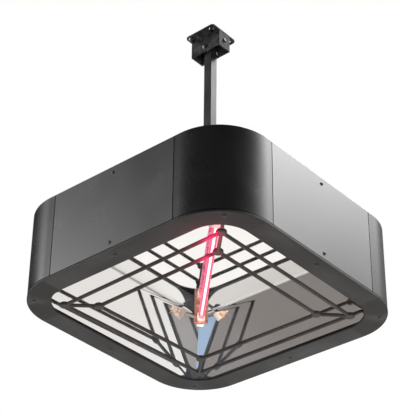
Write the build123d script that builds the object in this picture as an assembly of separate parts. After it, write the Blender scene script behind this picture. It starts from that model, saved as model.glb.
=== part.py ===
from build123d import *
import os
from math import atan2, cos, pi, sin, sqrt, tan

# Square patio heater that hangs from a ceiling on a square pole.
# The origin is the centre of the ceiling plate's top face and +Z is up, so everything lies below it.
# X and Y are square to the casing's flat sides. The lamp lies on the diagonal from +X-Y to -X+Y.
# Every size is in millimetres.

# Ceiling plate and swivel box
plate_side = 84
plate_thick = 4
plate_corner = 8
plate_hole_x = 30
plate_hole_y = 32
plate_hole_r = 4.5
cable_hole_r = 10
box_length = 84
box_width = 40
box_bottom = -47
box_wall = 3
box_corner = 2

# Pivot between the swivel box and the pole
pivot_z = -34
pivot_r = 3
pivot_clear = 0.05
sleeve_r = 5
washer_r = 6
washer_thick = 1.6
nut_flats = 10
nut_height = 6
bush_r = 7
bush_gap = 0.4
lock_screw_z = -25

# Pole and its foot on the lid
pole_side = 21
pole_wall = 2
pole_corner = 1.2
pole_above_pivot = 12
flange_side = 100
flange_thick = 4
flange_hole = 38
flange_cable_r = 6
weld_side = 4
grommet_r = 10

# Casing
drop = 720
casing_side = 600
casing_height = 197
casing_corner = 120
sheet = 1.2
lid_thick = 1.5
seam = 164
seam_gap = 2
fold_depth = 25
fold_thick = 1.5
lid_fold_length = 260
post_width = 24
screw_from_edge = 15.5
frame_leg_inner = 263

# Bezel
bezel_thick = 4
bezel_sheet = 1.2
bezel_over = 0.5
bezel_lip = 3
opening_side = 500
opening_corner = 70
bezel_screw_mid = 280
bezel_screw_corner = 254

# Guard of round rod, held only at the lamp's two corners. As in the photo it is a little out of true:
# the corner at -X-Y hangs low, and the one at -X+Y is pulled in. Sags and pulls are those of the outer
# square, and go round from +X-Y.
wire_r = 4
wire_drop = 2.4
guard_outer = 209.5
guard_inner = 159.5
corner_sag = (-1.5, 0, 0, 7.5)
corner_pull = (0, 0, 6, 0)
pad_r = 11
pad_round = 3
tab_reach = 243
tab_width = 7
tab_thick = 2.5

# Reflector of mirror sheet. Its flange lies on the legs of the bottom frame and is folded back on
# itself at the opening, as a hem.
mirror_sheet = 0.8
mirror_base = fold_thick
mirror_height = 116
mirror_mouth = 253.4
mirror_crown = 175.2
mirror_fold = 24
mirror_flange = 274
mirror_hem = 250.6
mirror_corner = 115

# Lamp along the diagonal
lamp_height = 87
lamp_r = 7
lamp_wall = 1.2
lamp_half = 191
filament_r = 2.6
cap_length = 32
cap_width = 16
cap_tall = 18
bracket_at = 196
strap_at = 203
strap_width = 8
strap_foot = 5

# Inside the top of the casing
shield_z = 135
shield_half = 236
shield_thick = 0.8
post_r = 5
shield_post_at = 120
terminal_size = (60, 30, 22)
cover_size = (130, 84, 44)
cover_sheet = 1.2
lead_r = 2
lead_z = 150
backing_side = 130
backing_thick = 3

# Button-head screws: head radius, head height, shank radius, socket across flats
m4 = (3.8, 2.2, 2.0, 2.5)
m5 = (4.75, 2.75, 2.5, 3.0)
m6 = (5.25, 3.3, 3.0, 4.0)

rim_z = -drop
lid_z = rim_z + casing_height
half = casing_side / 2
sides = {"front": 0, "right": 90, "back": 180, "left": 270}
pole_top = pivot_z + pole_above_pivot
lamp_z = rim_z + lamp_height
mirror_z = rim_z + mirror_height


def rounded_plate(side, corner, bottom, thick):
    return extrude(Pos(0, 0, bottom) * RectangleRounded(side, side, corner), thick)


def block(x_range, y_range, z_range):
    size = [high - low for low, high in (x_range, y_range, z_range)]
    centre = [(low + high) / 2 for low, high in (x_range, y_range, z_range)]
    return Pos(*centre) * Box(*size)


def rod(start, end, radius):
    axis = Vector(*end) - Vector(*start)
    return extrude(Plane(origin=start, z_dir=axis) * Circle(radius), axis.length)


def all_sides(piece):
    return [Rot(0, 0, angle) * piece for angle in sides.values()]


def button_screw(size, shank):
    """A screw whose head stands on the XY plane and whose shank goes down."""
    head_r, head_h, shank_r, flats = size
    head = Cylinder(head_r, head_h, align=(Align.CENTER, Align.CENTER, Align.MIN))
    head = fillet(head.edges().group_by(Axis.Z)[-1], head_h * 0.72)
    socket_depth = head_h * 0.6
    socket = extrude(Pos(0, 0, head_h - socket_depth) * RegularPolygon(flats / sqrt(3), 6), socket_depth)
    stem = Pos(0, 0, -shank) * Cylinder(shank_r, shank, align=(Align.CENTER, Align.CENTER, Align.MIN))
    return head + stem - socket


def facing(point, outward):
    """The place of a screw whose head lies at point and looks outward."""
    return Plane(origin=point, z_dir=outward).location


# Ceiling fixing

def ceiling_plate():
    plate = rounded_plate(plate_side, plate_corner, -plate_thick, plate_thick)
    plate = chamfer(plate.edges().group_by(Axis.Z)[0], 0.6)
    for x in (-plate_hole_x, plate_hole_x):
        for y in (-plate_hole_y, plate_hole_y):
            plate -= rod((x, y, -plate_thick - 1), (x, y, 1), plate_hole_r)
    return plate - rod((0, 0, -plate_thick - 1), (0, 0, 1), cable_hole_r)


def swivel_box():
    height = -plate_thick - box_bottom
    outer = extrude(Pos(0, 0, box_bottom) * RectangleRounded(box_length, box_width, box_corner), height)
    inner_size = (box_length - 2 * box_wall, box_width - 2 * box_wall)
    shell = outer - extrude(Pos(0, 0, box_bottom) * Rectangle(*inner_size), height)
    shell -= rod((0, -box_width, pivot_z), (0, box_width, pivot_z), pivot_r + 0.1)
    return shell - rod((-box_length, 0, lock_screw_z), (box_length, 0, lock_screw_z), m5[2])


def pivot_bolt():
    head_at = -box_width / 2 - washer_thick
    shank = box_width + 2 * washer_thick + nut_height + 2
    return facing((0, head_at, pivot_z), (0, -1, 0)) * button_screw(m6, shank)


def pivot_washers():
    washer = rod((0, 0, 0), (0, washer_thick, 0), washer_r) - rod((0, -1, 0), (0, 9, 0), pivot_r + 0.1)
    near = Pos(0, -box_width / 2 - washer_thick, pivot_z) * washer
    return [near, Pos(0, box_width / 2, pivot_z) * washer]


def pivot_nut():
    start = box_width / 2 + washer_thick
    face = Plane(origin=(0, start, pivot_z), z_dir=(0, 1, 0)) * RegularPolygon(nut_flats / sqrt(3), 6)
    nut = extrude(face, nut_height)
    return nut - rod((0, start - 1, pivot_z), (0, start + nut_height + 1, pivot_z), pivot_r)


def pivot_bushes():
    inner, outer = pole_side / 2 + bush_gap, box_width / 2 - box_wall
    bush = rod((0, inner, pivot_z), (0, outer, pivot_z), bush_r)
    bush -= rod((0, inner - 1, pivot_z), (0, outer + 1, pivot_z), pivot_r + 0.1)
    return [bush, mirror(bush, about=Plane.XZ)]


def lock_screws():
    end = box_length / 2
    screw = button_screw(m5, box_wall + 2)
    return [facing((side * end, 0, lock_screw_z), (side, 0, 0)) * screw for side in (-1, 1)]


# Pole and foot

def pole():
    bottom = lid_z + flange_thick
    length = pole_top - bottom
    section = RectangleRounded(pole_side, pole_side, pole_corner)
    section -= Rectangle(pole_side - 2 * pole_wall, pole_side - 2 * pole_wall)
    tube = extrude(Pos(0, 0, bottom) * section, length)
    return tube - rod((0, -pole_side, pivot_z), (0, pole_side, pivot_z), sleeve_r)


def pivot_sleeve():
    ends = [(0, side * pole_side / 2, pivot_z) for side in (-1, 1)]
    return rod(*ends, sleeve_r) - rod(*ends, pivot_r + pivot_clear)


def pole_flange():
    plate = rounded_plate(flange_side, 10, lid_z, flange_thick)
    plate = chamfer(plate.edges().group_by(Axis.Z)[-1], 0.8)
    weld_outline = Pos(0, 0, lid_z + flange_thick) * Rectangle(pole_side + 2 * weld_side, pole_side + 2 * weld_side)
    pole_span = (-pole_side / 2, pole_side / 2)
    plate += extrude(weld_outline, weld_side, taper=45) - block(pole_span, pole_span, (lid_z, lid_z + 20))
    for x in (-flange_hole, flange_hole):
        for y in (-flange_hole, flange_hole):
            plate -= rod((x, y, lid_z - 1), (x, y, lid_z + 9), m6[2] + 0.1)
    return plate - rod((0, 0, lid_z - 1), (0, 0, lid_z + 9), flange_cable_r)


def flange_screws():
    screw = button_screw(m6, flange_thick + lid_thick + backing_thick + 3)
    spots = [(x, y) for x in (-flange_hole, flange_hole) for y in (-flange_hole, flange_hole)]
    return [Pos(x, y, lid_z + flange_thick) * screw for x, y in spots]


def backing_plate():
    bottom = lid_z - lid_thick - backing_thick
    plate = rounded_plate(backing_side, 8, bottom, backing_thick)
    for x in (-flange_hole, flange_hole):
        for y in (-flange_hole, flange_hole):
            plate -= rod((x, y, bottom - 1), (x, y, lid_z), m6[2])
    return plate - rod((0, 0, bottom - 1), (0, 0, lid_z), grommet_r)


def pole_grommet():
    bottom = lid_z - lid_thick - backing_thick
    ring = rod((0, 0, bottom), (0, 0, lid_z), grommet_r)
    return ring - rod((0, 0, bottom - 1), (0, 0, lid_z + 1), flange_cable_r)


# Casing

def wall_ring(outer, corner, thick, bottom, height):
    shell = rounded_plate(outer, corner, bottom, height)
    return shell - rounded_plate(outer - 2 * thick, corner - thick, bottom, height)


def casing_wall():
    return wall_ring(casing_side, casing_corner, sheet, rim_z, casing_height - lid_thick)


def front_screw_spots():
    return [(0, -half, z) for z in (rim_z + screw_from_edge, lid_z - screw_from_edge)]


def front_panel(wall):
    reach = seam - seam_gap / 2
    panel = wall & block((-reach, reach), (-half - 1, -half + 20), (rim_z, lid_z))
    for x, y, z in front_screw_spots():
        panel -= rod((x, y - 1, z), (x, y + 9, z), m4[2] + 0.1)
    return panel


def corner_cover(wall):
    reach = seam + seam_gap / 2
    return wall & block((reach, half + 1), (-half - 1, -reach), (rim_z, lid_z))


def top_cover():
    lid = rounded_plate(casing_side, casing_corner, lid_z - lid_thick, lid_thick)
    lid = fillet(lid.edges().group_by(Axis.Z)[-1], 1.2)
    inner = half - sheet
    fold_span = (-lid_fold_length / 2, lid_fold_length / 2)
    fold = block(fold_span, (-inner, -inner + fold_thick), (lid_z - lid_thick - fold_depth, lid_z - lid_thick))
    fold -= rod((0, -half, lid_z - screw_from_edge), (0, -inner + 9, lid_z - screw_from_edge), m4[2])
    for piece in all_sides(fold):
        lid += piece
    for x in (-flange_hole, flange_hole):
        for y in (-flange_hole, flange_hole):
            lid -= rod((x, y, lid_z - 9), (x, y, lid_z + 1), m6[2] + 0.1)
    return lid - rod((0, 0, lid_z - 9), (0, 0, lid_z + 1), grommet_r)


def bottom_frame():
    inner = half - sheet
    frame = wall_ring(2 * inner, casing_corner - sheet, fold_thick, rim_z, fold_depth)
    leg = block((-seam, seam), (-inner + fold_thick, -frame_leg_inner), (rim_z, rim_z + fold_thick))
    leg -= rod((0, -bezel_screw_mid, rim_z - 1), (0, -bezel_screw_mid, rim_z + 9), m4[2])
    hole = rod((0, -half, rim_z + screw_from_edge), (0, -inner + 9, rim_z + screw_from_edge), m4[2])
    for piece in all_sides(leg):
        frame += piece
    for piece in all_sides(hole):
        frame -= piece
    return frame


def seam_posts():
    inner = half - sheet
    z_range = (rim_z + fold_depth, lid_z - lid_thick)
    posts = []
    for middle in (-seam, seam):
        span = (middle - post_width / 2, middle + post_width / 2)
        posts += all_sides(block(span, (-inner, -inner + fold_thick), z_range))
    return posts


def panel_screws():
    screw = button_screw(m4, 8)
    return [Rot(0, 0, angle) * facing(spot, (0, -1, 0)) * screw
            for angle in sides.values() for spot in front_screw_spots()]


# Bezel and guard

def rolled(ring, radius):
    """Round the bottom edge of the ring's hole."""
    lowest = ring.edges().group_by(Axis.Z)[0]
    inner = [edge for edge in lowest if max(abs(edge.center().X), abs(edge.center().Y)) < frame_leg_inner - 3]
    return fillet(inner, radius)


def bezel():
    """A flat ring of folded sheet, with a low wall along its outer edge and a lip round the opening."""
    bottom, floor = rim_z - bezel_thick, rim_z - bezel_thick + bezel_sheet
    side, corner = casing_side + 2 * bezel_over, casing_corner + bezel_over
    ring = rounded_plate(side, corner, bottom, bezel_thick)
    ring = fillet(ring.edges().group_by(Axis.Z)[0], 1.0)
    ring = rolled(ring - rounded_plate(opening_side, opening_corner, bottom, bezel_thick), bezel_lip)
    lip_side, lip_corner = opening_side + 2 * bezel_sheet, opening_corner + bezel_sheet
    channel = rounded_plate(side - 2 * bezel_sheet, corner - bezel_sheet, floor, bezel_thick)
    channel = rolled(channel - rounded_plate(lip_side, lip_corner, floor, bezel_thick), bezel_lip - bezel_sheet)
    ring -= channel
    ring -= rounded_plate(lip_side + 1, lip_corner + 0.5, bottom + bezel_lip, bezel_thick)
    for x, y in bezel_screw_spots():
        ring -= rod((x, y, bottom - 1), (x, y, rim_z + 1), m4[2] + 0.1)
    return ring


def bezel_screw_spots():
    mid, corner = bezel_screw_mid, bezel_screw_corner
    mids = [(0, -mid), (mid, 0), (0, mid), (-mid, 0)]
    return mids + [(x, y) for x in (-corner, corner) for y in (-corner, corner)]


def bezel_screws():
    bottom = rim_z - bezel_thick
    screws = []
    for x, y in bezel_screw_spots():
        shank = bezel_thick if x and y else bezel_thick + 6
        screws.append(facing((x, y, bottom), (0, 0, -1)) * button_screw(m4, shank))
    return screws


def square_spots(reach):
    return [(reach, -reach), (reach, reach), (-reach, reach), (-reach, -reach)]


def guard_corners(reach):
    """The four points where the rods' axes meet, from the lamp's +X-Y corner on."""
    level, share = rim_z - wire_drop, reach / guard_outer
    offsets = zip(square_spots(reach), corner_sag, corner_pull)
    return [(x + pull * share, y, level - sag * share) for (x, y), sag, pull in offsets]


def guard_pad(x, y, z):
    return fillet((Pos(x, y, z) * Cylinder(pad_r, 2 * wire_r)).edges(), pad_round)


def guard_pads():
    return [guard_pad(*corner) for reach in (guard_outer, guard_inner) for corner in guard_corners(reach)]


def guard_wire(start, end):
    """A straight rod that stops at the pads at its two ends."""
    wire = rod(start, end, wire_r)
    for x, y, z in (start, end):
        core = rod((x, y, z - 2 * wire_r), (x, y, z + 2 * wire_r), pad_r - pad_round)
        wire = wire - guard_pad(x, y, z) - core
    return wire


def guard_square(reach):
    corners = guard_corners(reach)
    return [guard_wire(a, b) for a, b in zip(corners, corners[1:] + corners[:1])]


def guard_struts():
    """Four short rods on the diagonals, from the inner pads to the outer ones."""
    return [guard_wire(a, b) for a, b in zip(guard_corners(guard_inner), guard_corners(guard_outer))]


def guard_tabs():
    """Two flat tabs over the bezel's lip, at the lamp's two corners. Each has a foot on the bezel's sheet."""
    start, end = guard_outer * sqrt(2), tab_reach * sqrt(2)
    lip_top, floor = rim_z - bezel_thick + bezel_lip, rim_z - bezel_thick + bezel_sheet
    side_y = (-tab_width / 2, tab_width / 2)
    opening_reach = (opening_side / 2 - opening_corner) * sqrt(2) + opening_corner
    tab = block((start, end), side_y, (lip_top, lip_top + tab_thick))
    tab += block((opening_reach + bezel_lip + 0.5, end), side_y, (floor, lip_top))
    corners = guard_corners(guard_outer)
    return [Rot(0, 0, angle) * tab - guard_pad(*corner) for angle, corner in ((-45, corners[0]), (135, corners[2]))]


# Reflector

def mirror_slope():
    return atan2(mirror_mouth - mirror_crown, mirror_height - mirror_base)


def mirror_flat_half():
    """Half the width of the crown between its folds."""
    slope = mirror_slope()
    fold_start = mirror_height - mirror_fold * (1 - sin(slope))
    return mirror_mouth - (fold_start - mirror_base) * tan(slope) - mirror_fold * cos(slope)


def right_reflector():
    """One sloping side with its flange, hem and fold, mitred at both ends."""
    slope = mirror_slope()
    flat = mirror_flat_half()
    centre_z = mirror_height - mirror_fold
    mid_angle = (slope + pi / 2) / 2

    def on_fold(radius, angle):
        return (flat + radius * cos(angle), centre_z + radius * sin(angle))

    outer = mirror_fold + mirror_sheet
    outer_mouth = mirror_mouth + mirror_sheet * (1 / cos(slope) - tan(slope))
    outside_z, hem_z = mirror_base + mirror_sheet, mirror_base + 2 * mirror_sheet
    wall_start = (mirror_mouth - 2 * mirror_sheet * tan(slope), hem_z)
    outline = [
        Line((mirror_flange, mirror_base), (mirror_hem, mirror_base)),
        Line((mirror_hem, mirror_base), (mirror_hem, hem_z)),
        Line((mirror_hem, hem_z), wall_start),
        Line(wall_start, on_fold(mirror_fold, slope)),
        ThreePointArc(on_fold(mirror_fold, slope), on_fold(mirror_fold, mid_angle), (flat, mirror_height)),
        Line((flat, mirror_height), (flat, mirror_height + mirror_sheet)),
        ThreePointArc((flat, mirror_height + mirror_sheet), on_fold(outer, mid_angle), on_fold(outer, slope)),
        Line(on_fold(outer, slope), (outer_mouth, outside_z)),
        Line((outer_mouth, outside_z), (mirror_flange, outside_z)),
        Line((mirror_flange, outside_z), (mirror_flange, mirror_base)),
    ]
    section = Plane.XZ * make_face(outline)
    reach = mirror_flange
    trim_reach = half - casing_corner + mirror_corner
    strip = Pos(0, 0, rim_z) * extrude(section, reach, both=True)
    wedge = Polygon((0, 0), (reach, -reach), (reach, reach), align=None)
    wedge &= RectangleRounded(2 * trim_reach, 2 * trim_reach, mirror_corner)
    return strip & extrude(Pos(0, 0, rim_z - 1) * wedge, mirror_height + 10)


def reflector_crown():
    reach = mirror_flat_half()
    crown = block((-reach, reach), (-reach, reach), (mirror_z, mirror_z + mirror_sheet))
    for x, y in lead_rise_spots():
        crown -= rod((x, y, mirror_z - 1), (x, y, mirror_z + 5), lead_r + 0.5)
    return crown


# Lamp

def on_diagonal(piece):
    """Turn a piece drawn along +X onto the lamp's diagonal, and add its twin at the far end."""
    return [Rot(0, 0, angle) * piece for angle in (-45, 135)]


def lamp_tube():
    tube = rod((-lamp_half, 0, lamp_z), (lamp_half, 0, lamp_z), lamp_r)
    tube -= rod((-lamp_half, 0, lamp_z), (lamp_half, 0, lamp_z), lamp_r - lamp_wall)
    return Rot(0, 0, -45) * tube


def lamp_filament():
    bore = lamp_r - lamp_wall
    wire = rod((-lamp_half, 0, lamp_z), (lamp_half, 0, lamp_z), filament_r)
    for side in (-1, 1):
        wire += rod((side * lamp_half, 0, lamp_z), (side * (lamp_half - 4), 0, lamp_z), bore)
    return Rot(0, 0, -45) * wire


def lamp_caps():
    z_range = (lamp_z - cap_tall / 2, lamp_z + cap_tall / 2)
    cap = block((lamp_half, lamp_half + cap_length), (-cap_width / 2, cap_width / 2), z_range)
    return on_diagonal(chamfer(cap.edges() | Axis.X, 1.5))


def lamp_brackets():
    leg_half = 15
    foot = block((bracket_at - 24, bracket_at + 1.5), (-leg_half, leg_half), (mirror_z - 1.5, mirror_z))
    leg = block((bracket_at, bracket_at + 1.5), (-leg_half, leg_half), (lamp_z - 15, mirror_z - 1.5))
    window_z = (lamp_z - cap_tall / 2, lamp_z + cap_tall / 2)
    leg -= block((bracket_at - 1, bracket_at + 9), (-cap_width / 2, cap_width / 2), window_z)
    return on_diagonal(foot + leg)


def lamp_straps():
    x_range = (strap_at, strap_at + strap_width)
    side_y = cap_width / 2
    low = lamp_z - cap_tall / 2
    strap = block(x_range, (-side_y - 1, side_y + 1), (low - 1, low))
    for side in (-1, 1):
        y_range = sorted((side * side_y, side * (side_y + 1)))
        strap += block(x_range, y_range, (low, mirror_z))
        foot_y = sorted((side * side_y, side * (side_y + strap_foot)))
        strap += block(x_range, foot_y, (mirror_z - 1, mirror_z))
    return on_diagonal(strap)


# Wiring space above the reflector

def heat_shield():
    bottom = rim_z + shield_z
    shield = rounded_plate(2 * shield_half, 40, bottom, shield_thick)
    for x, y in lead_rise_spots():
        shield -= rod((x, y, bottom - 1), (x, y, bottom + 9), lead_r + 2.5)
    return shield


def shield_posts():
    z0, z1 = mirror_z + mirror_sheet, rim_z + shield_z
    return [rod((x, y, z0), (x, y, z1), post_r) for x, y in square_spots(shield_post_at)]


def terminal_block():
    length, width, tall = terminal_size
    bottom = rim_z + shield_z + shield_thick
    body = block((-length / 2, length / 2), (-width / 2, width / 2), (bottom, bottom + tall))
    pitch = length / 4
    for i in range(3):
        x = (i - 1) * pitch
        body -= block((x - 5, x + 5), (-width / 2 - 1, -width / 2 + 6), (bottom + 6, bottom + tall + 1))
        body -= block((x - 5, x + 5), (width / 2 - 6, width / 2 + 1), (bottom + 6, bottom + tall + 1))
    return body


def terminal_cover():
    length, width, tall = cover_size
    bottom = rim_z + shield_z + shield_thick
    outer = block((-length / 2, length / 2), (-width / 2, width / 2), (bottom, bottom + tall))
    wall = cover_sheet
    inner_x, inner_y = (-length / 2 + wall, length / 2 - wall), (-width / 2 + wall, width / 2 - wall)
    cover = outer - block(inner_x, inner_y, (bottom, bottom + tall - wall))
    cover -= rod((-length, 0, rim_z + lead_z), (length, 0, rim_z + lead_z), lead_r + 0.5)
    return cover - rod((0, 0, bottom + tall - 5), (0, 0, bottom + tall + 1), flange_cable_r)


def lead_rise_spots():
    at = (lamp_half + cap_length - 5) / sqrt(2)
    return [(at, -at), (-at, at)]


def lamp_leads():
    x, y = lead_rise_spots()[0]
    start = lamp_z + cap_tall / 2
    z = rim_z + lead_z
    route = [(x, y, start), (x, y, z), (118, -106, z), (104, -50, z), (82, 0, z), (terminal_size[0] / 2, 0, z)]
    radii = [20, 45, 45, 22]
    path = FilletPolyline(*route, radius=radii)
    lead = sweep(Plane(origin=route[0], z_dir=(0, 0, 1)) * Circle(lead_r), path=path)
    return [lead, Rot(0, 0, 180) * lead]


def save(name, pieces):
    shape = Compound(children=list(pieces)) if isinstance(pieces, list) else pieces
    export_step(shape, f"parts/{name}.step")


os.makedirs("parts", exist_ok=True)

single_nodes = [
    ceiling_plate, swivel_box, pivot_bolt, pivot_washers, pivot_nut, pivot_bushes, lock_screws,
    pole, pivot_sleeve, pole_flange, flange_screws, backing_plate, pole_grommet,
    top_cover, bottom_frame, seam_posts, panel_screws, bezel, bezel_screws,
    guard_pads, guard_struts, guard_tabs, reflector_crown,
    lamp_tube, lamp_filament, lamp_caps, lamp_brackets, lamp_straps,
    heat_shield, shield_posts, terminal_block, terminal_cover, lamp_leads,
]
for make in single_nodes:
    save(make.__name__, make())

save("guard_outer_wires", guard_square(guard_outer))
save("guard_inner_wires", guard_square(guard_inner))

wall = casing_wall()
panel = front_panel(wall)
corner = corner_cover(wall)
reflector = right_reflector()
corner_names = ("front_right", "back_right", "back_left", "front_left")
for (side, angle), corner_name in zip(sides.items(), corner_names):
    save(f"{side}_panel", Rot(0, 0, angle) * panel)
    save(f"corner_cover_{corner_name}", Rot(0, 0, angle) * corner)
    save(f"reflector_{side}", Rot(0, 0, angle - 90) * reflector)
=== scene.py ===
from math import atan2, cos, pi, radians, sin, sqrt, tan

import bmesh
import bpy
from mathutils import Matrix, Vector


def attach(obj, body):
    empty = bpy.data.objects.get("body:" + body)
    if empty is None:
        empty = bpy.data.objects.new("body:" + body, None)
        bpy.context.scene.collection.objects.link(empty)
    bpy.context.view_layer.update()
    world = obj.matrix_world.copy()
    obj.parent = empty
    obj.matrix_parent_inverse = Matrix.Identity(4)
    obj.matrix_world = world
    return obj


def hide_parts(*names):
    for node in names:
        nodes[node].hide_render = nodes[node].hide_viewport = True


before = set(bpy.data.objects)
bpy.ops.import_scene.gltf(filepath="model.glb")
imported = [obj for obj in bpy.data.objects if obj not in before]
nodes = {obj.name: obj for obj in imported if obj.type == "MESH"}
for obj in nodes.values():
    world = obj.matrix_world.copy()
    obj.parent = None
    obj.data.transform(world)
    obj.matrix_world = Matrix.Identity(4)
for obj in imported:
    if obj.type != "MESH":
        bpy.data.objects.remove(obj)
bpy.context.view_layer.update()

scene = bpy.context.scene
rimZ = -0.720      # underside of the casing walls, top of the bezel
lampAxis = (sqrt(0.5), -sqrt(0.5), 0.0)      # towards the lamp's near end


# Camera, from the fit to the casing's edges

cameraPlace = {
    "location": (1.74897, -2.05362, -2.24643),
    "azimuth": 40.496,      # angles in degrees
    "elevation": -33.358,
    "roll": 0.5625,
    "lens": 129.31,
    "sensor": 36.0,
    "clipEnd": 100.0,
}


def addCamera(place):
    data = bpy.data.cameras.new("photoCamera")
    data.sensor_fit = "HORIZONTAL"
    data.sensor_width = place["sensor"]
    data.lens = place["lens"]
    data.clip_end = place["clipEnd"]
    camera = bpy.data.objects.new("photoCamera", data)
    turn = Matrix.Rotation(radians(place["azimuth"]), 4, "Z")
    tip = Matrix.Rotation(radians(90 - place["elevation"]), 4, "X")
    lean = Matrix.Rotation(radians(place["roll"]), 4, "Z")
    camera.matrix_world = Matrix.Translation(place["location"]) @ turn @ tip @ lean
    scene.collection.objects.link(camera)
    scene.camera = camera


addCamera(cameraPlace)
print("camera placed")


# Helpers for materials and their nodes

def feed(tree, socket, given):
    # numbers and colours are set, sockets are linked
    if isinstance(given, (int, float)):
        socket.default_value = given
    elif isinstance(given, (tuple, Vector)):
        socket.default_value = (*given, 1) if socket.type == "RGBA" and len(given) == 3 else given
    else:
        tree.links.new(given, socket)


def setSockets(shader, values):
    for name, value in values.items():
        feed(None, shader.inputs[name], value)


def newMaterial(name, values):
    material = bpy.data.materials.new(name)
    material.use_nodes = True
    shader = material.node_tree.nodes["Principled BSDF"]
    setSockets(shader, values)
    return material, shader


def newGroup(name, inputs, outputs):
    group = bpy.data.node_groups.new(name, "ShaderNodeTree")
    for socketName, kind, value in inputs:
        socket = group.interface.new_socket(socketName, in_out="INPUT", socket_type=kind)
        socket.default_value = value
    for socketName, kind in outputs:
        group.interface.new_socket(socketName, in_out="OUTPUT", socket_type=kind)
    return group, group.nodes.new("NodeGroupInput"), group.nodes.new("NodeGroupOutput")


def addNoise(tree, vector, scale, detail):
    noise = tree.nodes.new("ShaderNodeTexNoise")
    feed(tree, noise.inputs["Vector"], vector)
    feed(tree, noise.inputs["Scale"], scale)
    noise.inputs["Detail"].default_value = detail
    return noise.outputs["Fac"]


def addRange(tree, value, fromMin, fromMax, toMin=0.0, toMax=1.0):
    node = tree.nodes.new("ShaderNodeMapRange")
    node.interpolation_type = "SMOOTHSTEP"
    names = ("Value", "From Min", "From Max", "To Min", "To Max")
    for name, given in zip(names, (value, fromMin, fromMax, toMin, toMax)):
        feed(tree, node.inputs[name], given)
    return node.outputs["Result"]


def addMix(tree, factor, first, second, blend="MIX"):
    mix = tree.nodes.new("ShaderNodeMix")
    mix.data_type = "RGBA"
    mix.blend_type = blend
    for name, given in (("Factor", factor), ("A", first), ("B", second)):
        feed(tree, mix.inputs[name], given)
    return mix.outputs["Result"]


def addMath(tree, operation, *values):
    node = tree.nodes.new("ShaderNodeMath")
    node.operation = operation
    for socket, given in zip(node.inputs, values):
        feed(tree, socket, given)
    return node.outputs["Value"]


def addVector(tree, operation, first, second):
    node = tree.nodes.new("ShaderNodeVectorMath")
    node.operation = operation
    feed(tree, node.inputs[0], first)
    feed(tree, node.inputs["Scale" if operation == "SCALE" else 1], second)
    return node.outputs["Value" if operation == "DOT_PRODUCT" else "Vector"]


def heightOf(tree, where):
    split = tree.nodes.new("ShaderNodeSeparateXYZ")
    tree.links.new(where, split.inputs[0])
    return split.outputs["Z"]


def addBump(tree, shader, height, strength, depth):
    bump = tree.nodes.new("ShaderNodeBump")
    for name, given in (("Strength", strength), ("Distance", depth), ("Height", height)):
        feed(tree, bump.inputs[name], given)
    tree.links.new(bump.outputs["Normal"], shader.inputs["Normal"])


# Studio: soft boxes drawn in the world, a plain white surround and a pale floor

studio = {
    "surround": (1.0, 1.0, 1.0),
    "ambientUp": (0.07, 0.07, 0.07),
    "ambientDown": (0.24, 0.22, 0.21),
    "horizon": 0.12,      # how far above and below level the two ambients blend
    "floorZ": -4.0,
    "floorSide": 40.0,
    "floorColour": (0.80, 0.80, 0.79),
    "floorRoughness": 0.9,
}

# azimuth clockwise from +Y, elevation, full inside the first angle, none outside the second, colour, strength
softBoxes = {
    "keyBox": (32, 58, 9, 31, (1.0, 1.0, 1.0), 21.5),
    "keyHalo": (30, 52, 10, 50, (1.0, 1.0, 1.0), 0.8),
    "sideBox": (-127, 14, 4, 22, (1.0, 1.0, 1.0), 16.5),
    "sideHalo": (-128, 22, 5, 40, (1.0, 1.0, 1.0), 0.5),
    "backSweep": (-42, -22, 20, 62, (1.0, 0.995, 0.98), 0.80),
    "rightSweep": (50, -12, 20, 52, (1.0, 0.99, 0.98), 0.62),
    "blueWindow": (-164, -47, 1, 19, (0.20, 0.52, 1.0), 0.48),
}


def direction(azimuth, elevation):
    a, e = radians(azimuth), radians(elevation)
    return Vector((sin(a) * cos(e), cos(a) * cos(e), sin(e)))


def addWorld(settings, boxes):
    world = bpy.data.worlds.new("studio")
    scene.world = world
    world.use_nodes = True
    tree = world.node_tree
    tree.nodes.clear()
    make, link = tree.nodes.new, tree.links.new
    where = make("ShaderNodeTexCoord").outputs["Generated"]
    upward = addRange(tree, heightOf(tree, where), -settings["horizon"], settings["horizon"])
    total = addMix(tree, upward, settings["ambientDown"], settings["ambientUp"])
    for azimuth, elevation, inner, outer, colour, strength in boxes.values():
        facing = addVector(tree, "DOT_PRODUCT", where, direction(azimuth, elevation))
        angle = addMath(tree, "ARCCOSINE", facing)
        share = addRange(tree, angle, radians(outer), radians(inner))
        light = addVector(tree, "SCALE", tuple(channel * strength for channel in colour), share)
        total = addVector(tree, "ADD", total, light)
    lit, plain = make("ShaderNodeBackground"), make("ShaderNodeBackground")
    feed(tree, lit.inputs["Color"], total)
    feed(tree, plain.inputs["Color"], settings["surround"])
    mix = make("ShaderNodeMixShader")
    sources = (make("ShaderNodeLightPath").outputs["Is Camera Ray"], lit.outputs[0], plain.outputs[0])
    for source, socket in zip(sources, mix.inputs):
        link(source, socket)
    link(mix.outputs[0], make("ShaderNodeOutputWorld").inputs["Surface"])


def addFloor(settings):
    reach, z = settings["floorSide"] / 2, settings["floorZ"]
    mesh = bpy.data.meshes.new("studioFloor")
    corners = [(-reach, -reach, z), (reach, -reach, z), (reach, reach, z), (-reach, reach, z)]
    mesh.from_pydata(corners, [], [(0, 1, 2, 3)])
    paint, _ = newMaterial("floorPaint", {
        "Base Color": settings["floorColour"], "Roughness": settings["floorRoughness"]})
    mesh.materials.append(paint)
    floor = bpy.data.objects.new("studioFloor", mesh)
    floor.visible_glossy = False
    scene.collection.objects.link(floor)


addWorld(studio, softBoxes)
addFloor(studio)
scene.view_settings.view_transform = "Standard"
print("studio built")


# Soft light from below the far side, which only lifts the coats there

riseBox = {
    "location": (0.25, 0.85, -1.35),
    "target": (0.0, 0.25, -0.72),
    "side": 0.5,
    "power": 9.0,
}


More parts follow.
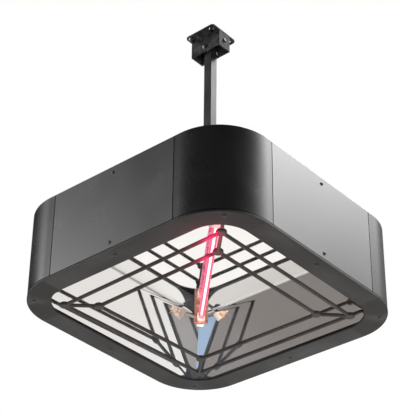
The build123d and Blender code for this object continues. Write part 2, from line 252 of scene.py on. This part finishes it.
def addRiseBox(settings):
    data = bpy.data.lights.new("riseBox", "AREA")
    data.size = settings["side"]
    data.energy = settings["power"]
    box = bpy.data.objects.new("riseBox", data)
    aim = Vector(settings["target"]) - Vector(settings["location"])
    box.rotation_euler = aim.to_track_quat("-Z", "Y").to_euler()
    box.location = settings["location"]
    box.visible_camera = False
    box.visible_glossy = False
    scene.collection.objects.link(box)


addRiseBox(riseBox)


# Crimson light that the lamp throws on the guard and the bezel at its near end

bloom = {
    "colour": (1.0, 0.0, 0.12),
    "size": 0.004,
    "lights": {
        "bloomBezel": ((0.194, -0.227, -0.738), 0.30),
        "bloomOuter": ((0.176, -0.2225, -0.7375), 0.55),
        "bloomInner": ((0.127, -0.1725, -0.7375), 0.50),
        "bloomStrut": ((0.184, -0.195, -0.740), 0.10),
    },
}


def addBloom(settings):
    for name, (place, power) in settings["lights"].items():
        data = bpy.data.lights.new(name, "POINT")
        data.color = settings["colour"]
        data.energy = power
        data.shadow_soft_size = settings["size"]
        light = bpy.data.objects.new(name, data)
        light.location = place
        light.visible_camera = False
        light.visible_glossy = False
        light.visible_transmission = False
        scene.collection.objects.link(light)
        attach(light, "heater")


addBloom(bloom)
print("bloom lit")


# Coats and metals: grain, cloudy wear and worn edges

wearPattern = {
    "cloudDetail": 4.0,
    "grainDetail": 2.0,
    "edge": (0.53, 0.62),                   # pointiness where the wear starts and where it is full
    "patches": (0.35, 0.65, 0.2, 1.0),      # noise from and to, share of the wear from and to
    "cloud": (0.3, 0.7),                    # noise from and to
    "shade": (0.86, 1.1),                   # darkest and lightest cloud
}


def makeSurfaceGroup(pattern):
    group, given, out = newGroup(
        "paintSurface",
        [("Base", "NodeSocketColor", (0.02, 0.02, 0.02, 1)), ("Worn", "NodeSocketColor", (0.1, 0.1, 0.1, 1)),
         ("Grain Scale", "NodeSocketFloat", 900.0), ("Cloud Scale", "NodeSocketFloat", 9.0),
         ("Roughness Low", "NodeSocketFloat", 0.3), ("Roughness High", "NodeSocketFloat", 0.4),
         ("Wear", "NodeSocketFloat", 0.3)],
        [("Color", "NodeSocketColor"), ("Roughness", "NodeSocketFloat"), ("Height", "NodeSocketFloat")],
    )
    asked, link = given.outputs, group.links.new
    where = group.nodes.new("ShaderNodeTexCoord").outputs["Object"]
    cloud = addNoise(group, where, asked["Cloud Scale"], pattern["cloudDetail"])
    grain = addNoise(group, where, asked["Grain Scale"], pattern["grainDetail"])
    edge = group.nodes.new("ShaderNodeNewGeometry").outputs["Pointiness"]
    worn = addMath(group, "MULTIPLY", addRange(group, edge, *pattern["edge"]), asked["Wear"])
    patchy = addMath(group, "MULTIPLY", worn, addRange(group, cloud, *pattern["patches"]))
    tone = addMix(group, patchy, asked["Base"], asked["Worn"])
    shade = addMix(group, 1.0, tone, addRange(group, cloud, *pattern["cloud"], *pattern["shade"]), "MULTIPLY")
    rough = addRange(group, cloud, *pattern["cloud"], asked["Roughness Low"], asked["Roughness High"])
    link(shade, out.inputs["Color"])
    link(rough, out.inputs["Roughness"])
    link(grain, out.inputs["Height"])
    return group


surfaceGroup = makeSurfaceGroup(wearPattern)


# Painted lamp light and glints on the fittings at its ends, as emission: amber and patchy at the far end and
# pink at the near end

endPaintedLight = {
    # colours of the painted lamp light: Pale patches are painted glints, Dark spots are painted reflections
    # of the dark parts nearby
    "Amber": (0.95, 0.36, 0.08),
    "Pale": (1.0, 0.80, 0.66),
    "Dark": (0.16, 0.03, 0.03),
    "Near": (1.0, 0.74, 0.80),
    "Bright Within": 0.196,
    "Dark Beyond": 0.236,
    "Patch Scale": 130.0,
}
endLightPattern = {
    "patchDetail": 1.0,
    "pale": (0.53, 0.60, 0.0, 1.0),         # noise from and to, share from and to
    "dark": (0.41, 0.47, 1.0, 0.0),
    "near": (-0.01, 0.01, 0.0, 1.0),        # metres along the lamp from and to, share from and to
}


def makeEndLightGroup(defaults, pattern):
    inputs = []
    for name, value in defaults.items():
        if isinstance(value, float):
            inputs.append((name, "NodeSocketFloat", value))
        else:
            inputs.append((name, "NodeSocketColor", (*value, 1)))
    group, given, out = newGroup("endPaintedLight", inputs, [("Color", "NodeSocketColor")])
    asked = given.outputs
    where = group.nodes.new("ShaderNodeTexCoord").outputs["Object"]
    along = addVector(group, "DOT_PRODUCT", where, lampAxis)
    distance = addMath(group, "ABSOLUTE", along)
    # painted lamp light, full up to Bright Within along the lamp and gone at Dark Beyond
    amount = addRange(group, distance, asked["Bright Within"], asked["Dark Beyond"], 1.0, 0.0)
    patches = addNoise(group, where, asked["Patch Scale"], pattern["patchDetail"])
    warm = addMix(group, addRange(group, patches, *pattern["pale"]), asked["Amber"], asked["Pale"])
    spotted = addMix(group, addRange(group, patches, *pattern["dark"]), warm, asked["Dark"])
    ends = addMix(group, addRange(group, along, *pattern["near"]), spotted, asked["Near"])
    group.links.new(addVector(group, "SCALE", ends, amount), out.inputs["Color"])
    return group


endLightGroup = makeEndLightGroup(endPaintedLight, endLightPattern)


def paintedMaterial(name, look):
    material, shader = newMaterial(name, look["shader"])
    tree = material.node_tree
    surface = tree.nodes.new("ShaderNodeGroup")
    surface.node_tree = surfaceGroup
    setSockets(surface, look["surface"])
    tree.links.new(surface.outputs["Color"], shader.inputs["Base Color"])
    tree.links.new(surface.outputs["Roughness"], shader.inputs["Roughness"])
    addBump(tree, shader, surface.outputs["Height"], look["bump"], look["depth"])
    # fittings by the lamp wear painted lamp light as emission
    if look.get("glow"):
        glow = tree.nodes.new("ShaderNodeGroup")
        glow.node_tree = endLightGroup
        tree.links.new(glow.outputs["Color"], shader.inputs["Emission Color"])
    return material


looks = {
    "casingCoat": {
        "shader": {"Metallic": 0.0, "IOR": 1.5},
        "surface": {"Base": (0.003, 0.003, 0.003), "Worn": (0.03, 0.03, 0.03), "Wear": 0.2,
                    "Grain Scale": 1400.0, "Cloud Scale": 7.0,
                    "Roughness Low": 0.24, "Roughness High": 0.28},
        "bump": 0.02, "depth": 0.0002,
    },
    "coverCoat": {
        "shader": {"Metallic": 0.0, "IOR": 1.38},
        "surface": {"Base": (0.002, 0.002, 0.002), "Worn": (0.03, 0.03, 0.03), "Wear": 0.2,
                    "Grain Scale": 1400.0, "Cloud Scale": 7.0,
                    "Roughness Low": 0.24, "Roughness High": 0.28},
        "bump": 0.02, "depth": 0.0002,
    },
    "bezelCoat": {
        "shader": {"Metallic": 0.0, "IOR": 1.30},
        "surface": {"Base": (0.010, 0.0095, 0.009), "Worn": (0.06, 0.06, 0.06), "Wear": 0.3,
                    "Grain Scale": 1200.0, "Cloud Scale": 9.0,
                    "Roughness Low": 0.45, "Roughness High": 0.55},
        "bump": 0.2, "depth": 0.0002,
    },
    "poleCoat": {
        "shader": {"Metallic": 0.0, "IOR": 1.26},
        "surface": {"Base": (0.008, 0.008, 0.008), "Worn": (0.04, 0.04, 0.04), "Wear": 0.3,
                    "Grain Scale": 1400.0, "Cloud Scale": 14.0,
                    "Roughness Low": 0.38, "Roughness High": 0.46},
        "bump": 0.2, "depth": 0.0002,
    },
    "bracketCoat": {
        "shader": {"Metallic": 0.0, "IOR": 1.35, "Specular IOR Level": 0.06},
        "surface": {"Base": (0.014, 0.014, 0.014), "Worn": (0.06, 0.06, 0.06), "Wear": 0.5,
                    "Grain Scale": 700.0, "Cloud Scale": 40.0,
                    "Roughness Low": 0.50, "Roughness High": 0.62},
        "bump": 0.5, "depth": 0.0004,
    },
    # near black with almost no sheen on the bottom frame, the seam posts and the band under the walls, so
    # that seams and gaps read black: painted shade
    "paintedShadeBlack": {
        "shader": {"Metallic": 0.0, "Specular IOR Level": 0.02},
        "surface": {"Base": (0.0015, 0.0015, 0.0015), "Worn": (0.004, 0.004, 0.004), "Wear": 0.1,
                    "Grain Scale": 900.0, "Cloud Scale": 20.0,
                    "Roughness Low": 0.80, "Roughness High": 0.95},
        "bump": 0.2, "depth": 0.0002,
    },
    "guardCoat": {
        "shader": {"Metallic": 0.0, "IOR": 1.4},
        "surface": {"Base": (0.020, 0.018, 0.017), "Worn": (0.05, 0.045, 0.04), "Wear": 0.2,
                    "Grain Scale": 1600.0, "Cloud Scale": 30.0,
                    "Roughness Low": 0.50, "Roughness High": 0.62},
        "bump": 0.25, "depth": 0.0002,
    },
    "blackScrew": {
        "shader": {"Metallic": 0.0, "IOR": 1.4},
        "surface": {"Base": (0.025, 0.025, 0.025), "Worn": (0.2, 0.2, 0.2), "Wear": 0.4,
                    "Grain Scale": 2500.0, "Cloud Scale": 90.0,
                    "Roughness Low": 0.35, "Roughness High": 0.5},
        "bump": 0.1, "depth": 0.0001,
    },
    "screwSteel": {
        "shader": {"Metallic": 1.0},
        "surface": {"Base": (0.16, 0.16, 0.16), "Worn": (0.5, 0.5, 0.5), "Wear": 0.5,
                    "Grain Scale": 2500.0, "Cloud Scale": 90.0,
                    "Roughness Low": 0.28, "Roughness High": 0.42},
        "bump": 0.1, "depth": 0.0001,
    },
    "zincSheet": {
        "shader": {"Metallic": 1.0},
        "surface": {"Base": (0.55, 0.56, 0.58), "Worn": (0.7, 0.7, 0.7), "Wear": 0.3,
                    "Grain Scale": 220.0, "Cloud Scale": 25.0,
                    "Roughness Low": 0.35, "Roughness High": 0.5},
        "bump": 0.1, "depth": 0.0001,
    },
    # heat-tinted steel that also wears painted amber lamp light as emission
    "burntSteelPaintedGlow": {
        "shader": {"Metallic": 1.0, "Emission Strength": 0.22},
        "glow": True,
        "surface": {"Base": (0.62, 0.50, 0.46), "Worn": (0.8, 0.7, 0.6), "Wear": 0.3,
                    "Grain Scale": 1400.0, "Cloud Scale": 70.0,
                    "Roughness Low": 0.3, "Roughness High": 0.5},
        "bump": 0.1, "depth": 0.0001,
    },
    # steel straps with painted lamp light and glints as emission
    "clipSteel": {
        "shader": {"Metallic": 1.0, "Emission Strength": 0.75},
        "glow": True,
        "surface": {"Base": (0.80, 0.74, 0.66), "Worn": (0.9, 0.88, 0.85), "Wear": 0.3,
                    "Grain Scale": 1800.0, "Cloud Scale": 60.0,
                    "Roughness Low": 0.12, "Roughness High": 0.22},
        "bump": 0.08, "depth": 0.0001,
    },
    # ceramic caps with painted lamp light as emission
    "ceramic": {
        "shader": {"Metallic": 0.0, "IOR": 1.5, "Coat Weight": 0.4, "Coat Roughness": 0.15,
                   "Emission Strength": 0.5},
        "glow": True,
        "surface": {"Base": (0.80, 0.74, 0.62), "Worn": (0.9, 0.86, 0.78), "Wear": 0.3,
                    "Grain Scale": 900.0, "Cloud Scale": 80.0,
                    "Roughness Low": 0.3, "Roughness High": 0.45},
        "bump": 0.2, "depth": 0.0002,
    },
    "moulding": {
        "shader": {"Metallic": 0.0},
        "surface": {"Base": (0.62, 0.60, 0.52), "Worn": (0.7, 0.68, 0.6), "Wear": 0.3,
                    "Grain Scale": 1500.0, "Cloud Scale": 40.0,
                    "Roughness Low": 0.45, "Roughness High": 0.6},
        "bump": 0.2, "depth": 0.0002,
    },
    "siliconeSleeve": {
        "shader": {"Metallic": 0.0, "Coat Weight": 0.2},
        "surface": {"Base": (0.42, 0.03, 0.02), "Worn": (0.5, 0.1, 0.08), "Wear": 0.1,
                    "Grain Scale": 800.0, "Cloud Scale": 60.0,
                    "Roughness Low": 0.4, "Roughness High": 0.55},
        "bump": 0.1, "depth": 0.0002,
    },
    "blackRubber": {
        "shader": {"Metallic": 0.0},
        "surface": {"Base": (0.012, 0.012, 0.012), "Worn": (0.04, 0.04, 0.04), "Wear": 0.2,
                    "Grain Scale": 1300.0, "Cloud Scale": 50.0,
                    "Roughness Low": 0.6, "Roughness High": 0.75},
        "bump": 0.2, "depth": 0.0002,
    },
}
finishes = {name: paintedMaterial(name, look) for name, look in looks.items()}


# Mirror sheet, a little uneven, with a pale haze of painted light, as emission, round the lamp's far end

mirrorLook = {
    "colour": (0.90, 0.895, 0.88),
    "metallic": 0.985,
    "roughness": (0.015, 0.06),
    "cloudScale": 6.0,
    "cloudDetail": 3.0,
    "cloud": (0.3, 0.8),
    "waveScale": 14.0,
    "waveDetail": 1.0,
    "waveStrength": 0.05,
    "waveDepth": 0.001,
    "paintedHaze": (0.80, 0.88, 1.0),
    "paintedHazeStrength": 0.045,
    "paintedHazeReach": (0.14, 0.26),      # from the centre towards the lamp's far end
    "paintedHazeTop": (-0.628, -0.612),    # height where it fades out upwards
}


def mirrorMaterial(look):
    material, shader = newMaterial("mirrorSheet", {
        "Metallic": look["metallic"], "Base Color": look["colour"],
        "Emission Strength": look["paintedHazeStrength"]})
    tree = material.node_tree
    where = tree.nodes.new("ShaderNodeTexCoord").outputs["Object"]
    cloud = addNoise(tree, where, look["cloudScale"], look["cloudDetail"])
    wave = addNoise(tree, where, look["waveScale"], look["waveDetail"])
    tree.links.new(addRange(tree, cloud, *look["cloud"], *look["roughness"]), shader.inputs["Roughness"])
    addBump(tree, shader, wave, look["waveStrength"], look["waveDepth"])
    # painted haze of light as emission, towards the lamp's far end and fading out upwards
    far = addVector(tree, "DOT_PRODUCT", where, tuple(-part for part in lampAxis))
    below = addRange(tree, heightOf(tree, where), *look["paintedHazeTop"], 1.0, 0.0)
    share = addRange(tree, far, *look["paintedHazeReach"], 0.0, below)
    tree.links.new(addVector(tree, "SCALE", look["paintedHaze"], share), shader.inputs["Emission Color"])
    return material


finishes["mirrorSheet"] = mirrorMaterial(mirrorLook)


# Lamp: the glass glows pink and turns crimson where it is seen edge on, the coating is streaked crimson

lampGlow = {
    "glass": (1.0, 0.40, 0.47),
    "glassFace": (1.0, 0.14, 0.24),
    "glassEdge": (0.95, 0.01, 0.07),
    "glassBlend": 0.35,
    "glassRoughness": 0.02,
    "glassIor": 1.45,
    "glassStrength": 0.45,
    "coil": (1.0, 0.86, 0.84),
    "coilPaint": (1.0, 0.8, 0.7),
    "coilStrength": 4.0,
    "coatPaint": (0.5, 0.05, 0.06),
    "coatRoughness": 0.5,
    "coatDark": (0.42, 0.006, 0.10),
    "coatLight": (1.0, 0.30, 0.48),
    "coatStrength": 0.85,
    "streakTurn": 45.0,
    "streakScale": (4.0, 330.0, 330.0),      # along the lamp, and twice across it
    "streakDetail": 2.0,
    "streak": (0.40, 0.60),                  # noise from and to
}


def glowingGlass(glow):
    material, shader = newMaterial("quartzGlass", {
        "Base Color": glow["glass"], "Roughness": glow["glassRoughness"], "IOR": glow["glassIor"],
        "Transmission Weight": 1.0, "Emission Strength": glow["glassStrength"]})
    tree = material.node_tree
    facing = tree.nodes.new("ShaderNodeLayerWeight")
    facing.inputs["Blend"].default_value = glow["glassBlend"]
    tint = addMix(tree, facing.outputs["Facing"], glow["glassFace"], glow["glassEdge"])
    tree.links.new(tint, shader.inputs["Emission Color"])
    return material


def glowingCoat(glow):
    material, shader = newMaterial("heatCoating", {
        "Base Color": glow["coatPaint"], "Roughness": glow["coatRoughness"],
        "Emission Strength": glow["coatStrength"]})
    tree = material.node_tree
    turn = tree.nodes.new("ShaderNodeMapping")
    turn.inputs["Rotation"].default_value = (0, 0, radians(glow["streakTurn"]))
    turn.inputs["Scale"].default_value = glow["streakScale"]
    tree.links.new(tree.nodes.new("ShaderNodeTexCoord").outputs["Object"], turn.inputs["Vector"])
    streak = addRange(tree, addNoise(tree, turn.outputs[0], 1.0, glow["streakDetail"]), *glow["streak"])
    tree.links.new(addMix(tree, streak, glow["coatDark"], glow["coatLight"]), shader.inputs["Emission Color"])
    return material


finishes["quartzGlass"] = glowingGlass(lampGlow)
finishes["heatCoating"] = glowingCoat(lampGlow)
finishes["hotCoil"], _ = newMaterial("hotCoil", {
    "Base Color": lampGlow["coilPaint"], "Emission Color": lampGlow["coil"],
    "Emission Strength": lampGlow["coilStrength"]})
print("finishes mixed:", len(finishes))


# Which finish each piece of the frame wears

nodeFinishes = {
    "casingCoat": ["front_panel", "right_panel", "back_panel", "left_panel", "top_cover"],
    "coverCoat": ["corner_cover_front_right", "corner_cover_back_right",
                  "corner_cover_back_left", "corner_cover_front_left"],
    "bezelCoat": ["bezel"],
    "poleCoat": ["pole", "pole_flange"],
    "bracketCoat": ["ceiling_plate", "swivel_box"],
    # painted shade: the seam posts and bottom frame are made near black so the seams read black
    "paintedShadeBlack": ["bottom_frame", "seam_posts"],
    "guardCoat": ["guard_pads", "guard_struts", "guard_tabs", "guard_outer_wires", "guard_inner_wires"],
    "blackScrew": ["lock_screws", "bezel_screws", "panel_screws", "flange_screws"],
    "screwSteel": ["pivot_bolt", "pivot_washers", "pivot_nut", "pivot_sleeve"],
    "zincSheet": ["heat_shield", "shield_posts", "backing_plate", "terminal_cover"],
    "burntSteelPaintedGlow": ["lamp_brackets"],
    "clipSteel": ["lamp_straps"],
    "ceramic": ["lamp_caps"],
    "moulding": ["terminal_block", "pivot_bushes"],
    "siliconeSleeve": ["lamp_leads"],
    "blackRubber": ["pole_grommet"],
    "mirrorSheet": ["reflector_front", "reflector_right", "reflector_back", "reflector_left",
                    "reflector_crown"],
    "quartzGlass": ["lamp_tube"],
    "hotCoil": ["lamp_filament"],
}
for finish, members in nodeFinishes.items():
    for member in members:
        nodes[member].data.materials.clear()
        nodes[member].data.materials.append(finishes[finish])
print("materials on", sum(len(members) for members in nodeFinishes.values()), "of", len(nodes), "nodes")


def finishMesh(source, name):
    bmesh.ops.recalc_face_normals(source, faces=source.faces)
    mesh = bpy.data.meshes.new(name)
    source.to_mesh(mesh)
    source.free()
    return mesh


def addPiece(mesh, finish, body="heater"):
    piece = bpy.data.objects.new(mesh.name, mesh)
    scene.collection.objects.link(piece)
    mesh.materials.append(finishes[finish])
    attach(piece, body)
    return piece


# Reflector: one sheet with four sloping sides, a fold all round, a flat crown and a flange

reflector = {
    "base": 0.0015,        # heights are above the bezel's top
    "height": 0.116,
    "mouth": 0.2534,
    "crown": 0.1752,
    "fold": 0.024,
    "hem": 0.2506,
    "flange": 0.274,
    "flangeEnd": 0.2475,
    "sheet": 0.0008,
    "foldSteps": 32,
    "sharpFrom": 5.0,
    "coated": (1, 2),      # strips of the hem that carry the dark guard coat instead of the mirror, as painted shade along the edge of the opening
}


def foldCurve(size):
    # points and normals from wall to crown, for a bend that starts and ends gently
    slope = atan2(size["mouth"] - size["crown"], size["height"] - size["base"])
    turn, steps = pi / 2 - slope, size["foldSteps"]

    def bend(t):
        return slope + turn * (3 * t ** 2 - 2 * t ** 3)

    stride = size["fold"] * turn / steps
    chords = [bend((step + 0.5) / steps) for step in range(steps)]
    reach = stride * sum(cos(chord - slope - turn / 2) for chord in chords) / (2 * cos(turn / 2))
    x, z = size["crown"] + reach * sin(slope), size["height"] - reach * cos(slope)
    curve = [(x, z, cos(slope), sin(slope))]
    for step, chord in enumerate(chords, 1):
        x, z = x - stride * sin(chord), z + stride * cos(chord)
        curve.append((x, z, cos(bend(step / steps)), sin(bend(step / steps))))
    return slope, curve


def reflectorProfiles(size):
    # stations of one side from flange to crown, on both skins: how far out, half the length there, height
    slope, curve = foldCurve(size)
    low, middle, high = size["base"], size["base"] + size["sheet"], size["base"] + 2 * size["sheet"]
    wallStart = size["mouth"] - 2 * size["sheet"] * tan(slope)
    backMouth = size["mouth"] + size["sheet"] * (1 / cos(slope) - tan(slope))
    edge, end, hem = size["flange"], size["flangeEnd"], size["hem"]
    shown = [(edge, end, low), (hem, hem, low), (hem, hem, high), (wallStart, wallStart, high)]
    hidden = [(edge, end, middle), (backMouth, backMouth, middle)]
    for x, z, u, v in curve:
        outer = x + size["sheet"] * u
        shown.append((x, x, z))
        hidden.append((outer, outer, z + size["sheet"] * v))
    return shown, hidden


def reflectorMesh(size):
    sheet = bmesh.new()
    corners = {}      # vertices by place in micrometres, so that neighbouring faces share them

    def addFace(turn, *points, slot=0):
        face = []
        for x, y, z in points:
            point = turn @ Vector((x, y, z + rimZ))
            key = tuple(round(value * 1e6) for value in point)
            if key not in corners:
                corners[key] = sheet.verts.new(point)
            face.append(corners[key])
        sheet.faces.new(face).material_index = slot

    profiles = reflectorProfiles(size)
    (edge, end, lowZ), (_, _, highZ) = profiles[0][0], profiles[1][0]
    for quarter in range(4):
        turn = Matrix.Rotation(quarter * pi / 2, 3, "Z")
        for profile in profiles:
            for step, ((a, halfA, za), (b, halfB, zb)) in enumerate(zip(profile, profile[1:])):
                # listed hem strips take slot 1, the dark guard coat, as painted shade
                slot = int(profile is profiles[0] and step in size["coated"])
                addFace(turn, (a, -halfA, za), (a, halfA, za), (b, halfB, zb), (b, -halfB, zb), slot=slot)
            lip, lipZ = profile[1][0], profile[1][2]
            addFace(turn, (lip, lip, lipZ), (edge, end, profile[0][2]), (end, edge, profile[0][2]))
        addFace(turn, (edge, -end, lowZ), (edge, end, lowZ), (edge, end, highZ), (edge, -end, highZ))
        addFace(turn, (edge, end, lowZ), (end, edge, lowZ), (end, edge, highZ), (edge, end, highZ))
    for profile in profiles:
        flat, _, z = profile[-1]
        addFace(Matrix.Identity(3), (flat, -flat, z), (flat, flat, z), (-flat, flat, z), (-flat, -flat, z))
    for face in sheet.faces:
        face.smooth = True
    mesh = finishMesh(sheet, "mirrorReflector")
    mesh.set_sharp_from_angle(angle=radians(size["sharpFrom"]))
    return mesh


mirror = addPiece(reflectorMesh(reflector), "mirrorSheet")
# second slot: dark guard coat on the hem, painted shade at the opening's edge
mirror.data.materials.append(finishes["guardCoat"])
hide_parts("reflector_front", "reflector_right", "reflector_back", "reflector_left",
            "reflector_crown")
print("reflector folded")


# Lamp: a wound coil in a quartz tube whose upper half is coated

lamp = {
    "z": -0.633,
    "turn": -45.0,
    "halfLength": 0.191,
    "radius": 0.007,
    "wall": 0.0012,
    "neckLength": 0.006,
    "neck": [(0.0, 0.72), (0.4, 0.9), (1.0, 1.0)],      # shares of the neck's length and of the radius
    "coilInset": 0.006,
    "coilRadius": 0.0021,
    "coilWire": 0.00045,
    "coilTurns": 130,
    "coilSteps": 14,
    "wireSides": 6,
    "coatInset": 0.012,
    "coatRadius": 0.00712,
    "coatLift": 0.00002,   # gap between glass and coating
    "coatFrom": -4.0,      # degrees above the tube's middle where the coating starts, on both sides
    "steps": 48,
}


def tubeSkin(stations, steps, fromAngle=0.0, toAngle=2 * pi):
    # a skin through stations of (along, radius) round the X axis
    skin = bmesh.new()
    closed = toAngle - fromAngle > 2 * pi - 1e-6
    count = steps if closed else steps + 1
    angles = [fromAngle + (toAngle - fromAngle) * i / steps for i in range(count)]
    rings = [[skin.verts.new((along, radius * cos(a), radius * sin(a))) for a in angles]
             for along, radius in stations]
    for low, high in zip(rings, rings[1:]):
        for i in range(steps):
            j = (i + 1) % count
            skin.faces.new((low[i], low[j], high[j], high[i]))
    for face in skin.faces:
        face.smooth = True
    return skin


def layOnDiagonal(mesh, size):
    mesh.transform(Matrix.Translation((0, 0, size["z"])) @ Matrix.Rotation(radians(size["turn"]), 4, "Z"))
    return mesh


def quartzMesh(size):
    half = size["halfLength"]
    neck = [(size["neckLength"] * along - half, size["radius"] * share) for along, share in size["neck"]]
    outside = neck + [(-along, reach) for along, reach in reversed(neck)]
    inside = [(along, reach - size["wall"]) for along, reach in reversed(outside)]
    tube = tubeSkin(outside + inside + outside[:1], size["steps"])      # back to its first station
    return layOnDiagonal(finishMesh(tube, "quartzTube"), size)


def coatMesh(size):
    half, start = size["halfLength"] - size["coatInset"], radians(size["coatFrom"])
    outer, inner = size["coatRadius"], size["radius"] + size["coatLift"]
    loop = [(-half, inner), (-half, outer), (half, outer), (half, inner), (-half, inner)]
    shell = tubeSkin(loop, size["steps"], start, pi - start)
    bmesh.ops.holes_fill(shell, edges=shell.edges)
    return layOnDiagonal(finishMesh(shell, "lampCoating"), size)


def coilMesh(size):
    # one wire wound along the tube, as a swept mesh
    coil = bmesh.new()
    half, sides, wire = size["halfLength"] - size["coilInset"], size["wireSides"], size["coilWire"]
    total = size["coilTurns"] * size["coilSteps"]
    rings = []
    for i in range(total + 1):
        angle = 2 * pi * i / size["coilSteps"]
        out = Vector((0, cos(angle), sin(angle)))
        centre = Vector((-half + 2 * half * i / total, 0, 0)) + out * size["coilRadius"]
        ring = []
        for k in range(sides):
            turn = 2 * pi * k / sides
            ring.append(coil.verts.new(centre + out * wire * cos(turn) + Vector((wire * sin(turn), 0, 0))))
        rings.append(ring)
    for low, high in zip(rings, rings[1:]):
        for k in range(sides):
            coil.faces.new((low[k], low[(k + 1) % sides], high[(k + 1) % sides], high[k]))
    coil.faces.new(rings[0][::-1])
    coil.faces.new(rings[-1])
    return layOnDiagonal(finishMesh(coil, "lampCoil"), size)


quartzTube = addPiece(quartzMesh(lamp), "quartzGlass")
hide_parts("lamp_tube")
addPiece(coatMesh(lamp), "heatCoating")
lampCoil = addPiece(coilMesh(lamp), "hotCoil")
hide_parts("lamp_filament")
print("lamp wound and coated")


# Ceiling screws in three of the plate's four holes

ceilingScrew = {
    "spots": [(0.030, -0.032), (-0.030, -0.032), (-0.030, 0.032)],
    "plateBottom": -0.004,
    "headRadius": 0.0068,
    "headHeight": 0.0042,
    "headRound": 0.0032,
    "headSteps": 6,
    "washerRadius": 0.0085,
    "washerThick": 0.0012,
    "shankRadius": 0.0040,
    "socketRadius": 0.0030,
    "socketTaper": 0.96,
    "socketDepth": 0.0026,
    "steps": 36,
}


def screwProfile(size):
    # radius and height from the ceiling down the shank, round the washer and head, and into the socket
    low = size["plateBottom"]
    washer = low - size["washerThick"]
    tip = washer - size["headHeight"]
    profile = [(0.0, 0.0), (size["shankRadius"], 0.0), (size["shankRadius"], low),
               (size["washerRadius"], low), (size["washerRadius"], washer), (size["headRadius"], washer)]
    for i in range(size["headSteps"] + 1):
        angle = i * pi / 2 / size["headSteps"]
        inward = size["headRound"] * (1 - cos(angle))
        profile.append((size["headRadius"] - inward, washer - size["headHeight"] * sin(angle)))
    socket, floor = size["socketRadius"], tip + size["socketDepth"]
    return profile + [(socket, tip), (socket * size["socketTaper"], floor), (0.0, floor)]


def ceilingScrewMesh(size):
    screws = bmesh.new()
    profile, steps = screwProfile(size), size["steps"]
    for x, y in size["spots"]:
        rings = []
        for radius, z in profile:
            angles = [2 * pi * i / steps for i in range(steps if radius else 1)]
            rings.append([screws.verts.new((x + radius * cos(a), y + radius * sin(a), z)) for a in angles])
        for a, b in zip(rings, rings[1:]):
            for i in range(steps):
                j = (i + 1) % steps
                ring = [a[i % len(a)], a[j % len(a)], b[j % len(b)], b[i % len(b)]]
                screws.faces.new(list(dict.fromkeys(ring)))
    return finishMesh(screws, "ceilingScrews")


addPiece(ceilingScrewMesh(ceilingScrew), "screwSteel", body="ceiling_bracket")
print("ceiling screws placed")


# Thin black band between the casing walls and the bezel, painted shade standing in for the gap between them

rimShadeBand = {
    "casing": 0.3,         # from the middle to the outside of the walls
    "corner": 0.120,
    "inside": -0.0001,     # how far the band reaches past the walls, on its inner and outer side
    "outside": 0.00035,
    "height": 0.002,
    "steps": 24,
}


def roundedOutline(half, corner, steps):
    middle, outline = half - corner, []
    for quarter in range(4):
        turn = Matrix.Rotation(quarter * pi / 2, 2)
        for i in range(steps + 1):
            angle = i * pi / 2 / steps
            outline.append(turn @ Vector((middle + corner * cos(angle), middle + corner * sin(angle))))
    return outline


def rimShadeBandMesh(size):
    shadeBand = bmesh.new()
    loops = []
    low, high = rimZ, rimZ + size["height"]
    for side, z in (("inside", low), ("outside", low), ("outside", high), ("inside", high)):
        outline = roundedOutline(size["casing"] + size[side], size["corner"] + size[side], size["steps"])
        loops.append([shadeBand.verts.new((x, y, z)) for x, y in outline])
    for a, b in zip(loops, loops[1:] + loops[:1]):
        for i in range(len(a)):
            j = (i + 1) % len(a)
            shadeBand.faces.new((a[i], a[j], b[j], b[i]))
    return finishMesh(shadeBand, "rimShadeBand")


# painted shade along the joint of walls and bezel
addPiece(rimShadeBandMesh(rimShadeBand), "paintedShadeBlack")
print("seal laid")
